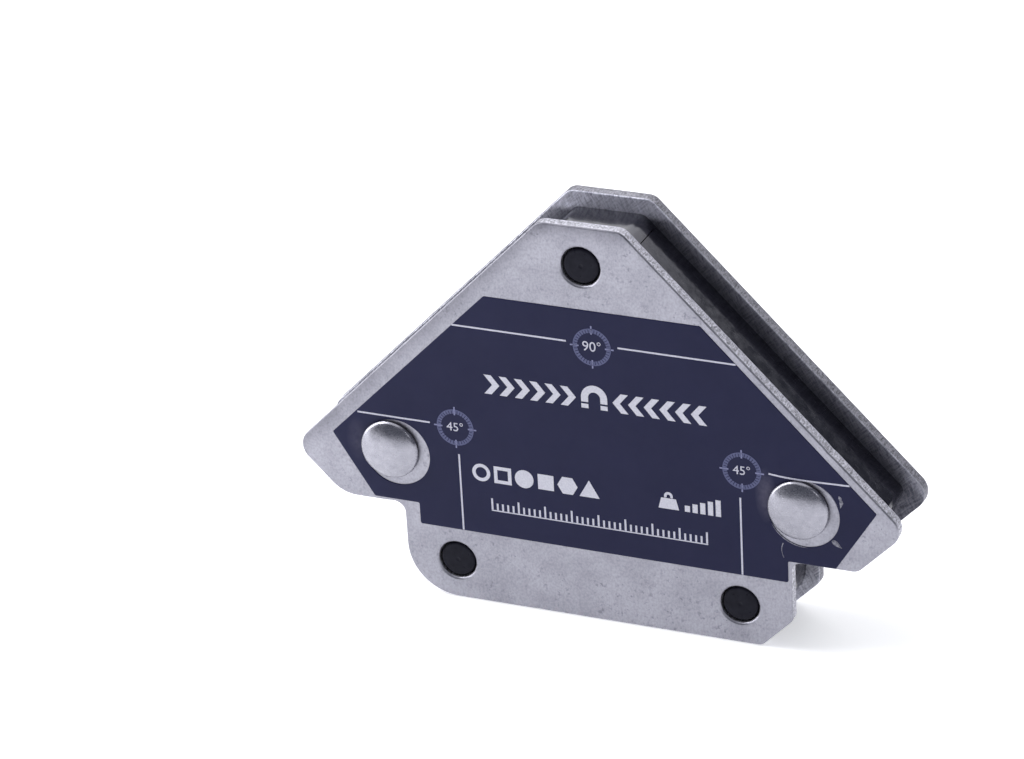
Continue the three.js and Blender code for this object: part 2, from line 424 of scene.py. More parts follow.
def steel_face():
    """Zinc-plated sheet: cool grey, soft blotches, clusters of small dull spots, grain, painted
    edge shade.
    """
    light, dark = (0.415, 0.412, 0.470), (0.345, 0.343, 0.396)
    spot_shade, stain_shade, painted_edge_shade = (0.20, 0.20, 0.24), (0.27, 0.265, 0.305), (0.72, 0.72, 0.73)
    s = Shader("zinc_sheet", metallic=1.0)
    blotch = s.ramp(s.noise(0.16, 5, 0.62), [(0.36, dark), (0.62, light)])
    grain = s.ramp(s.noise((3.0, 3.0, 2.4), 4, 0.6), [(0.35, 0.82), (0.6, 1.0)])
    shade = s.multiply(blotch, grain)
    clusters = s.ramp(s.noise(0.13, 3, 0.6), [(0.42, 0.25), (0.60, 1.0)])
    spots = s.ramp(s.noise(1.5, 3, 0.55), [(0.31, 0.85), (0.41, 0.0)])
    shade = s.mix(s.multiply(spots, clusters), shade, spot_shade)
    stains = s.ramp(s.noise(0.4, 6, 0.7, distortion=0.8), [(0.56, 0.0), (0.72, 0.4)])
    shade = s.mix(stains, shade, stain_shade)
    # Painted shade: the face darkens towards the top edge and along the left slope.
    for direction, start, end in (((0, 0, 1), 60.8, 64.2), ((-1, 0, 1), 66.0, 71.0)):
        shade = s.mix(s.toward(direction, start, end), shade, s.multiply(shade, painted_edge_shade))
    s.colour(shade)
    lines = s.noise((7.0, 7.0, 0.12), 3, 0.6)
    s.rough(s.ramp(s.mix(0.5, lines, s.noise(0.5, 4)), [(0.3, 0.36), (0.7, 0.50)]))
    s.bump(s.noise(0.09, 2, 0.4), 0.03)
    s.bump(lines, 0.0020)
    s.bump(s.noise(4.0, 3, 0.6), 0.0030)
    return s.material


def steel_inner(name, slot_shade):
    """The sheet's inner face, with grinding scratches, and painted shade where the slopes meet the
    band.
    """
    light, dark, scratched = (0.88, 0.88, 0.97), (0.66, 0.66, 0.74), (0.5, 0.5, 0.54)
    s = Shader(name, metallic=1.0)
    blotch = s.ramp(s.noise(0.3, 5, 0.65), [(0.32, dark), (0.68, light)])
    along = s.noise((3.6, 1.0, 0.5), 5, 0.7, math.radians(-50), distortion=0.6)
    across = s.noise((3.0, 1.0, 0.6), 5, 0.7, math.radians(25), distortion=0.8)
    scratches = s.ramp(s.mix(s.noise(0.25, 2), along, across), [(0.40, 0.0), (0.58, 1.0)])
    unshaded = s.mix(scratches, s.multiply(blotch, scratched), blotch)
    # Painted shade in the slot between the plates. It clears towards the slopes' outer edges, above
    # the core, and partly at the bottom.
    shade = s.multiply(unshaded, slot_shade)
    slopes = (((1, 0, 1), 66.9, 73.0), ((-1, 0, 1), 66.9, 73.0))
    top_and_bottom = (((0, 0, 1), 60.4, 61.6), ((0, 0, -1), -19.0, 3.0))
    for direction, start, end in slopes + top_and_bottom:
        shade = s.mix(s.toward(direction, start, end), shade, unshaded)
    s.colour(shade)
    s.rough(s.ramp(scratches, [(0.2, 0.72), (0.8, 0.52)]))
    s.bump(scratches, 0.02)
    return s.material


def steel_edge(name, dark, light):
    """Sheared edge of the sheet: torn grain across the thickness, with pits."""
    s = Shader(name, metallic=1.0)
    grain = s.noise((4.5, 0.9, 4.5), 5, 0.7)
    pits = s.noise(3.6, 4, 0.65)
    s.colour(s.ramp(s.mix(0.5, grain, pits), [(0.40, dark), (0.56, light)]))
    s.rough(s.ramp(pits, [(0.3, 0.42), (0.7, 0.62)]))
    s.bump(grain, 0.04)
    s.bump(pits, 0.03)
    return s.material


def rivet_steel():
    """Plated rivet: smoother than the sheet, with faint dents and rubbed scratches."""
    light, dark = (0.395, 0.391, 0.443), (0.335, 0.333, 0.382)
    s = Shader("plated_rivet", metallic=1.0)
    s.colour(s.ramp(s.noise(0.9, 5, 0.6), [(0.35, dark), (0.65, light)]))
    rubbed = s.mix(0.5, s.noise(2.2, 5, 0.7), s.noise((1.2, 1.2, 9.0), 4))
    s.rough(s.ramp(rubbed, [(0.3, 0.22), (0.7, 0.34)]))
    s.bump(s.noise(0.45, 2, 0.5), 0.016)
    s.bump(s.noise(3.4, 4, 0.65), 0.012)
    return s.material


def label_vinyl():
    """Navy printed vinyl, semi-matt, with a slight orange peel, and a painted sheen beside each
    rivet, where it bulges.
    """
    light, dark = (0.0100, 0.0116, 0.050), (0.0070, 0.0086, 0.043)
    sheen_colour, dust_shade = (0.105, 0.098, 0.15), (0.30, 0.30, 0.36)
    by_right_rivet = ((27.2, FRONT, 25.3), (1.7, 3, 4.6), 1.0)
    by_left_rivet = ((-37.6, FRONT, 24.6), (1.9, 3, 4.0), 0.45)
    s = Shader("navy_vinyl", Specular_IOR_Level=0.2)
    shade = s.ramp(s.noise(0.12, 4, 0.6), [(0.3, dark), (0.7, light)])
    # Painted sheen: a lighter, hazy spot left of each rivet, for light caught by the bulged vinyl.
    for centre, reach, most in (by_right_rivet, by_left_rivet):
        sheen_spot = s.ramp(s.spot(centre, reach), [(0, 0), (0.7, most)])
        painted_sheen = s.multiply(sheen_spot, s.noise(0.9, 3, 0.6))
        shade = s.mix(painted_sheen, shade, sheen_colour)
    dust = s.ramp(s.noise(2.8, 3, 0.5), [(0.76, 0.0), (0.84, 0.1)])
    s.colour(s.mix(dust, shade, dust_shade))
    s.rough(s.ramp(s.noise(0.6, 5, 0.65), [(0.3, 0.38), (0.7, 0.50)]))
    s.bump(s.noise(2.4, 3, 0.5), 0.004)
    s.bump(s.noise(0.13, 2, 0.4), 0.03)
    return s.material


def vinyl_back_and_highlight():
    """The vinyl's grey-lilac backing, which shows where it is torn, and the painted highlight of a
    crease.
    """
    light, dark = (0.30, 0.30, 0.36), (0.08, 0.082, 0.12)
    s = Shader("vinyl_backing_and_highlight")
    s.colour(s.ramp(s.noise(3.0, 4, 0.65), [(0.36, dark), (0.60, light)]))
    s.rough(s.ramp(s.noise(2.0, 3), [(0.3, 0.35), (0.7, 0.6)]))
    s.bump(s.noise(5.0, 3, 0.6), 0.01)
    return s.material


def ink(name, light, dark):
    """Screen-printed ink, slightly uneven where the vinyl's grain shows through."""
    s = Shader(name)
    s.colour(s.ramp(s.noise(3.5, 4, 0.65), [(0.35, dark), (0.6, light)]))
    s.rough(s.ramp(s.noise(1.5, 3), [(0.3, 0.42), (0.7, 0.55)]))
    s.bump(s.noise(2.4, 3, 0.5), 0.004)
    return s.material


def gloss_black():
    """Glossy black moulding with faint flow marks and rub scratches."""
    light, dark, tint = (0.009, 0.009, 0.015), (0.004, 0.004, 0.008), (0.86, 0.86, 1, 1)
    scratch_roughness = (0.4, 0.4, 0.4)
    s = Shader("gloss_black_moulding", Specular_IOR_Level=0.72, Specular_Tint=tint)
    s.colour(s.ramp(s.noise(0.4, 4), [(0.3, dark), (0.7, light)]))
    scratches = s.ramp(s.noise((0.5, 9.0, 0.5), 4, 0.65), [(0.62, 0.0), (0.7, 1.0)])
    moulded = s.ramp(s.noise(0.8, 4), [(0.3, 0.09), (0.7, 0.18)])
    s.rough(s.mix(scratches, moulded, scratch_roughness))
    s.bump(s.noise(0.35, 2), 0.012)
    return s.material


def plug_black():
    """Satin black plug with a fine spark-eroded texture."""
    light, dark, tint = (0.012, 0.012, 0.019), (0.006, 0.006, 0.011), (0.85, 0.86, 1, 1)
    s = Shader("plug_black_moulding", Specular_IOR_Level=0.13, Specular_Tint=tint)
    s.colour(s.ramp(s.noise(0.9, 4), [(0.3, dark), (0.7, light)]))
    s.rough(s.ramp(s.noise(1.4, 4), [(0.3, 0.26), (0.7, 0.42)]))
    s.bump(s.noise(3.4, 4, 0.6), 0.010)
    return s.material


def carrier_black():
    """Matt black moulding of the carrier."""
    light, dark = (0.028, 0.028, 0.031), (0.016, 0.016, 0.018)
    s = Shader("carrier_moulding")
    s.colour(s.ramp(s.noise(0.5, 4), [(0.3, dark), (0.7, light)]))
    s.rough(s.ramp(s.noise(1.2, 4), [(0.3, 0.42), (0.7, 0.60)]))
    s.bump(s.noise(4.0, 4, 0.6), 0.012)
    return s.material


def ferrite():
    """Ground ferrite: dark grey, with grinding lines and small chips."""
    light, dark = (0.085, 0.081, 0.078), (0.045, 0.042, 0.040)
    s = Shader("ground_ferrite", metallic=0.25)
    s.colour(s.ramp(s.noise(1.6, 6, 0.7), [(0.3, dark), (0.7, light)]))
    grinding = s.noise((0.3, 7.0, 7.0), 3, 0.6)
    s.rough(s.ramp(grinding, [(0.3, 0.45), (0.7, 0.65)]))
    s.bump(grinding, 0.01)
    return s.material


def turned_steel():
    """Plain steel of the sleeves, with turning marks round them."""
    light, dark = (0.60, 0.60, 0.61), (0.42, 0.42, 0.43)
    s = Shader("turned_steel", metallic=1.0)
    marks = s.noise((0.2, 9.0, 0.2), 3, 0.6)
    s.colour(s.ramp(marks, [(0.3, dark), (0.7, light)]))
    s.rough(s.ramp(marks, [(0.3, 0.25), (0.7, 0.42)]))
    s.bump(marks, 0.006)
    return s.material


def pale_floor():
    """Pale matt paper, which glows a little, so that it stays near white."""
    light, dark, glow = (0.88, 0.88, 0.885), (0.86, 0.86, 0.87), (0.97, 0.98, 1.0, 1)
    s = Shader("pale_floor", roughness=0.8, Emission_Color=glow, Emission_Strength=0.5)
    s.colour(s.ramp(s.noise(0.01, 3), [(0.3, dark), (0.7, light)]))
    s.bump(s.noise(1.2, 4, 0.6), 0.01)
    return s.material


FACE = steel_face()
FRONT_EDGE = steel_edge("sheared_edge_front", dark=(0.17, 0.17, 0.195), light=(0.70, 0.695, 0.77))
REAR_EDGE = steel_edge("sheared_edge_rear", dark=(0.09, 0.09, 0.105), light=(0.37, 0.366, 0.41))
# The rear plate's inner face takes painted shade in the slot; the front one takes none.
FRONT_INNER = steel_inner("zinc_sheet_inner_front", slot_shade=(1, 1, 1))
REAR_INNER = steel_inner("zinc_sheet_inner_rear", slot_shade=(0.22, 0.22, 0.235))
FRONT_STEEL = [FACE, FRONT_EDGE, FRONT_INNER]
REAR_STEEL = [FACE, REAR_EDGE, REAR_INNER]
RIVET_STEEL = rivet_steel()
VINYL = label_vinyl()
VINYL_BACK_AND_HIGHLIGHT = vinyl_back_and_highlight()
PALE_INK = ink("pale_ink", (0.62, 0.62, 0.72), (0.50, 0.50, 0.60))
BRIGHT_INK = ink("bright_ink", (0.66, 0.66, 0.74), (0.54, 0.54, 0.63))
BLUE_INK = ink("blue_ink", (0.085, 0.095, 0.215), (0.060, 0.068, 0.165))
TICK_INK = ink("tick_ink", (0.24, 0.25, 0.44), (0.18, 0.19, 0.35))
GLOSS = gloss_black()
PLUG = plug_black()


# ---- plates --------------------------------------------------------------------------------------

PLATE_GRID = 3.0


def plate(name, node, materials, outer, inner):
    """A blanked sheet: a rolled outer edge, a burnished and a torn band, a burr, eased holes."""
    way = math.copysign(1, inner - outer)
    bow = [(BOW_REACH * share, BOW * (1 - share) ** 2) for share in (1.0, 0.75, 0.5, 0.3, 0.14)]
    roll = bow + [(0.25, BOW + 0.02), (0.12, BOW + 0.075), (0.035, BOW + 0.16), (0.0, BOW + 0.3)]
    shear = [(0.0, BOW + 0.3), (0.0, 0.9), (0.035, 1.05), (0.05, PLATE_T - 0.22)]
    burr = [(0.05, PLATE_T - 0.22), (0.07, PLATE_T - 0.08), (0.16, PLATE_T), (0.7, PLATE_T)]
    eased = [(0.38, 0.0), (0.32, 0.012), (0.11, 0.17), (0.03, 0.25), (0.0, BOW + 0.3)]
    builder = Builder()
    loops = [(*outline(PLATE_CORNERS), roll)]
    loops += [(*hole_outline(centre, HOLE_R), eased) for centre in HOLES.values()]
    loops += [(*hole_outline(centre, RIVET_BORE_R), roll) for centre in RIVETS.values()]
    first, last = [], []
    for points, normals, edge in loops:
        wear = np.array([edge_wear(p, outer) for p in points])
        ring = None
        for profile, material in ((edge, 0), (shear[1:], 1), (burr[1:], 2)):
            rings = [ring] if ring else []
            for inset, depth in profile:
                worn = inset + wear * (1 if inset < 0.3 else 0)
                rings.append(builder.ring(points - normals * worn[:, None], outer + way * depth))
            builder.loft(rings, material)
            if not ring:
                first.append(rings[0])
            ring = rings[-1]
        last.append(ring)
    builder.cap(first, outer, 0, PLATE_GRID)
    builder.cap(last, inner, 2, PLATE_GRID)
    return place(builder.mesh(name), name, materials, node)


def edge_wear(point, seed):
    """How far handling has worn the edge back at a point: a soft wave with a few small nicks."""
    wave, nick, nick_threshold = 0.012, 0.22, 0.42
    at = Vector((point[0] * 0.35, point[1] * 0.35, seed))
    nicked = max(0.0, noise.noise(at * 2.6 + Vector((7, 3, 1))) - nick_threshold)
    return wave * (1 + noise.noise(at)) + nick * nicked


plate("front_plate_sheet", "front_plate", FRONT_STEEL, FRONT, CORE_FRONT)
plate("rear_plate_sheet", "rear_plate", REAR_STEEL, BACK, CORE_BACK)


# ---- edge band -----------------------------------------------------------------------------------

def edge_band():
    """The strip bent round the core, from one side of its butt joint to the other."""
    points, normals = outline(CORE_CORNERS, straight_step=2.0)
    joint = np.array((JOINT_X, CORE_SUM - JOINT_X))
    along = np.array((-1, 1)) / math.sqrt(2)
    slope = np.array((1, 1)) / math.sqrt(2)
    nearest = int(np.argmin(np.linalg.norm(points - joint, axis=1)))
    start = nearest if (points[nearest] - joint) @ along > JOINT_GAP else nearest + 1
    path = [(joint + along * JOINT_GAP / 2, slope)]
    for point, normal in zip(np.roll(points, -start, 0), np.roll(normals, -start, 0)):
        off = point - joint
        in_gap = abs(off @ along) <= JOINT_GAP * 0.49 and abs(off @ slope) <= 1
        if not in_gap:
            path.append((point, normal))
    path.append((joint - along * JOINT_GAP / 2, slope))
    soft = 0.12
    section = [(BAND_T, CORE_FRONT), (soft, CORE_FRONT), (soft * 0.3, CORE_FRONT + soft * 0.3)]
    section += [(0, CORE_FRONT + soft), (0, CORE_FRONT / 3)]
    section += [(inset, -y) for inset, y in reversed(section)]
    builder = Builder()
    rows = []
    for point, normal in path:
        first = len(builder.vertices)
        for inset, y in section:
            x, z = point - normal * inset
            builder.vertices.append((x, y, z))
        rows.append(list(range(first, len(builder.vertices))))
    builder.loft(rows)
    for row in (rows[0], rows[-1]):
        builder.faces.append(tuple(row))
        builder.materials.append(0)
    name = "edge_band_strip"
    return place(builder.mesh(name), name, [GLOSS], "edge_band")


edge_band()


# ---- rivets and plugs ----------------------------------------------------------------------------

def rivet(side):
    """Domed head with a thin rim, a foot that leaves room for the label, shank, clinched tail."""
    rim, foot = FRONT - HEAD_RIM, FRONT - HEAD_SEAT_H
    profile = [(0, FRONT - HEAD_H)]
    for share in np.linspace(0.06, 0.985, 22):
        rise = (HEAD_H - HEAD_RIM) * (1 - share ** 2.3)
        profile.append(((HEAD_R - 0.08) * share, rim - rise))
    profile += [(HEAD_R - 0.07, rim + 0.06), (HEAD_R - 0.18, rim + 0.16)]
    profile += [(HEAD_R - 0.16, rim + 0.2), (HEAD_R - 0.01, rim + 0.34)]
    profile += [(HEAD_R, rim + 0.38), (HEAD_R, foot - 0.06)]
    profile += [(HEAD_R - 0.06, foot), (HEAD_SEAT_R, foot), (HEAD_SEAT_R, FRONT)]
    profile += [(SHANK_R, FRONT), (SHANK_R, BACK), (TAIL_R - 0.2, BACK), (TAIL_R, BACK + 0.14)]
    profile += tail_profile()
    builder = turned(profile, RIVETS[side])
    builder.vertices = [dented(v, RIVETS[side]) for v in builder.vertices]
    name = f"rivet_{side}_head"
    return place(builder.mesh(name), name, [RIVET_STEEL], f"rivet_{side}")


def tail_profile():
    """The tail's rounded rim and the dish in its middle."""
    rounding, dish_reach, dish_depth = 1.1, 1.7, 0.9
    points = []
    for a in np.linspace(0, math.pi * 0.5, 9):
        height = TAIL_H - rounding + rounding * math.sin(a)
        points.append((TAIL_R - rounding + rounding * math.cos(a), BACK + height))
    for share in np.linspace(0.15, 1, 6):
        radius = TAIL_R - rounding - dish_reach * share
        points.append((radius, BACK + TAIL_H - dish_depth * share ** 2))
    points.append((0, BACK + 0.86))
    return points


def dented(vertex, centre):
    """Slight flats, dents and a mark in the middle that the rivet press leaves, always inwards."""
    mark_depth, dent_depth = 0.04, 0.05
    x, y, z = vertex
    above_rim = FRONT - HEAD_RIM - y
    if above_rim < 0:
        return vertex
    at = Vector((x, z, centre[0])) * 0.45
    mark = mark_depth * math.exp(-((x - centre[0]) ** 2 + (z - centre[1]) ** 2) / 0.7)
    return (x, y + mark + dent_depth * (1 + noise.noise(at)) * min(1, above_rim), z)


def plug(face, side):
    """Black plug in a plate hole: a soft edge, a hardly raised crown, a gate mark in the middle."""
    way = 1 if face == "front" else -1
    outer = (FRONT if face == "front" else BACK) + way * PLUG_RECESS
    depths = [(0, 0.06), (0.25, 0.06), (0.34, 0.0), (0.45, 0.0)]
    depths += [(1.6, 0.015), (2.3, 0.04), (2.5, 0.07)]
    depths += [(PLUG_R - 0.1, 0.12), (PLUG_R - 0.03, 0.19), (PLUG_R, 0.3), (PLUG_R, 1.8)]
    depths += [(STEM_R, 1.8), (STEM_R, 4.9), (STEM_R - 0.25, 5.2), (0, 5.2)]
    builder = turned([(r, outer + way * d) for r, d in depths], HOLES[side], sides=72)
    name = f"hole_plug_{face}_{side}_cap"
    return place(builder.mesh(name), name, [PLUG], f"hole_plug_{face}_{side}")


for rivet_side in RIVETS:
    rivet(rivet_side)
for plug_side in HOLES:
    plug("front", plug_side)
    plug("rear", plug_side)


# ---- label ---------------------------------------------------------------------------------------

LABEL_FACE = FRONT - LABEL_T
LABEL_GRID = 0.9
SUNK = 0.004


def on_plate(points):
    """The label's own x-z points, turned and shifted to where they lie on the plate."""
    c, turn = math.cos(LABEL_TURN), math.sin(LABEL_TURN)
    return np.array(points, float) @ np.array(((c, -turn), (turn, c))) + np.array((LABEL_SHIFT, 0))


def label_lift(x, z):
    """How far the vinyl stands off the plate: it lifts a little at the die-cut rims.

    The left rivet's head pins it down, where that covers the rim.
    """
    most, reach, clearance = 0.05, 0.9, 0.8
    pin_x, pin_z = RIVETS["left"]
    free = min(1, max(0, math.hypot(x - pin_x, z - pin_z) - HEAD_R) / clearance)
    lift = 0.0
    for cx, cz in LABEL_CUTS.values():
        distance = math.hypot(x - cx, z - cz) - LABEL_CUT_R
        angle = math.atan2(z - cz, x - cx)
        wave = 0.5 + 0.5 * noise.noise(Vector((math.cos(angle) * 2, math.sin(angle) * 2, cx)))
        lift += most * wave * free * math.exp(-max(distance, 0) / reach)
    return lift


def label():
    """Die-cut vinyl with a soft edge."""
    builder = Builder()
    points, normals = outline(LABEL_CORNERS, math.radians(24), LABEL_GRID)
    centre = on_plate([(0, 0)])
    loops = [(on_plate(points), on_plate(normals) - centre)]
    loops += [hole_outline(cut, LABEL_CUT_R, 96) for cut in LABEL_CUTS.values()]
    profile = [(0.10, 0), (0.02, 0.01), (0.0, 0.03), (0.0, LABEL_T), (0.10, LABEL_T)]
    first, last = [], []
    for points, normals in loops:
        rings = []
        for inset, depth in profile:
            rings.append(builder.ring(points - normals * inset, LABEL_FACE + depth))
        builder.loft(rings)
        first.append(rings[0])
        last.append(rings[-1])
    builder.cap(first, LABEL_FACE, 0, LABEL_GRID)
    builder.cap(last, FRONT, 0)
    for i, (x, y, z) in enumerate(builder.vertices):
        if y < FRONT - 0.01:
            builder.vertices[i] = (x, y - label_lift(x, z), z)
    name = "front_label_vinyl"
    return place(builder.mesh(name), name, [VINYL], "front_label")


def vinyl_strip(builder, path, widths, lifts):
    """A narrow strip of vinyl on the label, along a path of x-z points."""
    path = np.array(path, float)
    along = np.gradient(path, axis=0)
    across = np.stack((-along[:, 1], along[:, 0]), 1) / np.linalg.norm(along, axis=1)[:, None]
    rows = []
    for point, way, width, lift in zip(path, across, widths, lifts):
        first = len(builder.vertices)
        for side, rise in ((-1, 0.0), (-0.3, lift), (0.3, lift), (1, 0.0)):
            x, z = point + way * side * width / 2
            builder.vertices.append((x, LABEL_FACE - label_lift(x, z) - rise + SUNK, z))
        rows.append(list(range(first, len(builder.vertices))))
    builder.loft(rows)
    for row in (rows[0], rows[-1]):
        builder.faces.append(tuple(row))
        builder.materials.append(0)


def label_damage():
    """Pale strips on the vinyl: a painted highlight along a crease, and pale backing at a lifted
    rim and two torn slivers.
    """
    builder = Builder()
    # Painted highlight: a pale strip along the crease, where the bent vinyl catches the light.
    heights = np.linspace(17.9, 15.5, 9)
    crease_highlight = [(29.85 - 0.45 * math.sin(math.pi * (18.3 - z) / 3.1), z) for z in heights]
    vinyl_strip(builder, crease_highlight, np.linspace(0.15, 0.07, 9), [0.035] * 9)
    lower_left = (np.linspace(205, 275, 18), 0.09, 0.05, 0.13)
    upper_right = (np.linspace(62, 22, 12), 0.08, 0.04, 0.07)
    for degrees, off_rim, least, more in (lower_left, upper_right):
        a = np.radians(degrees)
        direction = np.stack((np.cos(a), np.sin(a)), 1)
        rim = np.array(LABEL_CUTS["right"]) + (LABEL_CUT_R + off_rim) * direction
        widths = least + more * np.sin(np.linspace(0, math.pi, len(a)))
        vinyl_strip(builder, rim, widths, [0.03] * len(a))
    upper = [(38.3, 26.9), (38.45, 26.6), (38.6, 26.2), (38.65, 25.8), (38.6, 25.4), (38.5, 25.0)]
    vinyl_strip(builder, upper, [0.1, 0.55, 0.4, 0.65, 0.35, 0.08], [0.05] * 6)
    lower = [(37.15, 19.5), (37.5, 19.25), (37.85, 19.0), (38.15, 18.75), (38.4, 18.6)]
    lower.append((38.6, 18.45))
    vinyl_strip(builder, lower, [0.4, 0.85, 0.75, 0.5, 0.25, 0.06], [0.06] * 6)
    name = "label_slivers_and_crease_highlight"
    return place(builder.mesh(name), name, [VINYL_BACK_AND_HIGHLIGHT])


label()
label_damage()


# ---- printing on the label: thin films of ink ----------------------------------------------------

INK_T = 0.012
SCALE_90 = (0.0, 45.3)
SCALE_45 = {"right": (22.5, 28.8), "left": (-22.5, 28.8)}
RING_OUTER = 2.97
RING_INNER = 2.27
LINE_W = 0.27


def film(builder, loops):
    """A closed film of ink inside the first loop and outside the others, lying on the vinyl."""
    tops, bottoms = [], []
    for loop in loops:
        flat = on_plate(loop)
        depths = np.array([LABEL_FACE - label_lift(x, z) for x, z in flat])
        tops.append(builder.ring(flat, depths - INK_T))
        bottoms.append(builder.ring(flat, depths + SUNK))
        builder.loft([tops[-1], bottoms[-1]])
    builder.cap(tops, LABEL_FACE)
    builder.cap(bottoms, LABEL_FACE)


def printed(name, material, shapes):
    """A piece of ink films, one for each shape, which is a list of loops."""
    builder = Builder()
    for loops in shapes:
        film(builder, loops)
    return place(builder.mesh(name), name, [material])


def line(path, width=LINE_W):
    """A line with square ends along a path of points."""
    along = np.gradient(path, axis=0)
    across = np.stack((-along[:, 1], along[:, 0]), 1) / np.linalg.norm(along, axis=1)[:, None]
    return [[*(path - across * width / 2), *(path + across * width / 2)[::-1]]]


def stroke(start, end, width=LINE_W):
    """A straight line with square ends."""
    start, end = np.array(start, float), np.array(end, float)
    steps = max(1, round(np.linalg.norm(end - start) / 0.8))
    return line(start + (end - start) * np.linspace(0, 1, steps + 1)[:, None], width)


def arc_band(centre, inner, outer, start=0.0, end=360.0):
    """A ring, or a stretch of one between two angles in degrees."""
    steps = max(6, round(abs(end - start) / 6))
    a = np.radians(np.linspace(start, end, steps + 1))
    direction = np.stack((np.cos(a), np.sin(a)), 1)
    centre = np.array(centre, float)
    if abs(end - start) >= 360:
        return [list(centre + outer * direction[:-1]), list(centre + inner * direction[-2::-1])]
    return [list(centre + outer * direction) + list(centre + inner * direction[::-1])]


def polygon(points):
    return [[np.array(p, float) for p in points]]


def rectangle(left, low, right, high):
    return polygon([(left, low), (right, low), (right, high), (left, high)])


def angle_lines():
    """Level lines by the 90 and 45 degree marks, and upright ones under the 45 degree marks.

    The right level line sags, where the vinyl is stretched by the rivet.
    """
    level_90, level_45, upright = 45.76, 29.02, 22.15
    reach = LABEL_APEX - level_90
    shapes = [stroke((-reach, level_90), (-4.0, level_90))]
    shapes.append(stroke((4.0, level_90), (reach, level_90)))
    shapes.append(stroke((-38.4, level_45), (-26.6, level_45)))
    sag_x = (26.6, 28.6, 30.6, 33.0, 35.6, 38.8)
    sag_z = (level_45, 28.84, 28.77, 28.80, 28.88, 28.98)
    x = np.linspace(sag_x[0], sag_x[-1], 16)
    shapes.append(line(np.stack((x, np.interp(x, sag_x, sag_z)), 1)))
    for side in (-1, 1):
        shapes.append(stroke((side * upright, LABEL_BOTTOM + 0.1), (side * upright, 24.4)))
    return shapes


def scale_rings():
    """Dial rings of short dashes inside a thin circle."""
    dash_end = RING_OUTER - 0.16
    shapes = []
    for centre in (SCALE_90, *SCALE_45.values()):
        shapes.append(arc_band(centre, dash_end, RING_OUTER))
        for a in range(0, 360, 10):
            shapes.append(arc_band(centre, RING_INNER, dash_end, a + 1.2, a + 8.8))
    return shapes


def scale_ticks():
    """Four ticks across each ring."""
    start, end, width = 2.05, 3.4, 0.22
    shapes = []
    for centre in (SCALE_90, *SCALE_45.values()):
        for a in (0, 90, 180, 270):
            way = np.array((math.cos(math.radians(a)), math.sin(math.radians(a))))
            shapes.append(stroke(centre + start * way, centre + end * way, width))
    return shapes


def chevron(x, z, way, height=3.1, thick=1.15, depth=1.3):
    """A chevron that points along x, from its back point."""
    half = height / 2
    return polygon([
        (x, z - half), (x + way * thick, z - half), (x + way * (thick + depth), z),
        (x + way * thick, z + half), (x, z + half), (x + way * depth, z),
    ][::way])


def magnet_sign(x, z):
    """A horseshoe magnet: a half ring on two legs, with separate pole tips."""
    low, inner, outer = z - 1.5, 0.95, 2.05
    foot, shoulder, tip = low + 1.0, low + 1.75, low + 0.7
    bow = arc_band((x, shoulder), inner, outer, 0, 180)[0]
    half = len(bow) // 2
    left_foot = [(x - outer, foot), (x - inner, foot)]
    right_foot = [(x + inner, foot), (x + outer, foot)]
    magnet = polygon(bow[:half] + left_foot + bow[half:] + right_foot)
    left_tip = rectangle(x - outer, low, x - inner, tip)
    right_tip = rectangle(x + inner, low, x + outer, tip)
    return [magnet, left_tip, right_tip]


def emblem():
    """Chevrons that point at a horseshoe magnet from both sides."""
    z, start, pitch, count = 36.8, 17.4, 2.42, 6
    shapes = magnet_sign(0, z)
    for k in range(count):
        shapes.append(chevron(-start + pitch * k, z, 1))
        shapes.append(chevron(start - pitch * k, z, -1))
    return shapes


def stock_signs():
    """Sections of steel stock: round and square tube, round, square and hexagon bar, a triangle."""
    start, z, pitch, half = -18.7, 21.9, 3.45, 1.4
    xs = [start + pitch * k for k in range(6)]
    square = [(-half, -half), (half, -half), (half, half), (-half, half)]
    inner = [(p * 0.6, q * 0.6) for p, q in reversed(square)]
    shapes = [arc_band((xs[0], z), 0.9, 1.45)]
    shapes.append([[(xs[1] + p, z + q) for p, q in loop] for loop in (square, inner)])
    shapes.append(polygon([(xs[2] + 1.5 * p, z + 1.5 * q) for p, q in regular(24)]))
    shapes.append(polygon([(xs[3] + p * 0.9, z + q * 0.9) for p, q in square]))
    shapes.append(polygon([(xs[4] + 1.6 * p, z + 1.6 * q) for p, q in regular(6)]))
    shapes.append(polygon([(xs[5] - 1.6, z - 1.35), (xs[5] + 1.6, z - 1.35), (xs[5], z + 1.45)]))
    return shapes


def regular(sides):
    """Corners of a regular polygon of radius one."""
    angles = [2 * math.pi * k / sides for k in range(sides)]
    return [(math.cos(a), math.sin(a)) for a in angles]


def strength_sign():
    """A scale weight and five rising bars."""
    x, low, top = 11.0, 20.7, 22.45
    shapes = [polygon([(x - 1.6, low), (x + 1.6, low), (x + 1.15, top), (x - 1.15, top)])]
    shapes.append(arc_band((x, low + 2.1), 0.28, 0.68, -30, 210))
    for k in range(5):
        left = 13.5 + 1.2 * k
        shapes.append(rectangle(left, low, left + 0.8, low + 1.0 + 0.42 * k))
    return shapes


def ruler():
    """A ruler: ticks on a base line, with every fifth one longer."""
    start, low, pitch, count, half = -17.2, 15.8, 0.85, 41, 0.15
    shapes = [stroke((start - half, low), (start + pitch * (count - 1) + half, low), 0.18)]
    for k in range(count):
        x = start + pitch * k
        high = low + (2.0 if k % 5 == 0 else 1.25)
        shapes.append(rectangle(x - half, low + 0.13, x + half, high))
    return shapes


printed("label_angle_lines", PALE_INK, angle_lines())
printed("label_emblem", BRIGHT_INK, emblem())
printed("label_stock_signs", BRIGHT_INK, stock_signs())
printed("label_strength_sign", BRIGHT_INK, strength_sign())
printed("label_ruler", PALE_INK, ruler())
printed("label_scale_rings", BLUE_INK, scale_rings())
printed("label_scale_ticks", TICK_INK, scale_ticks())


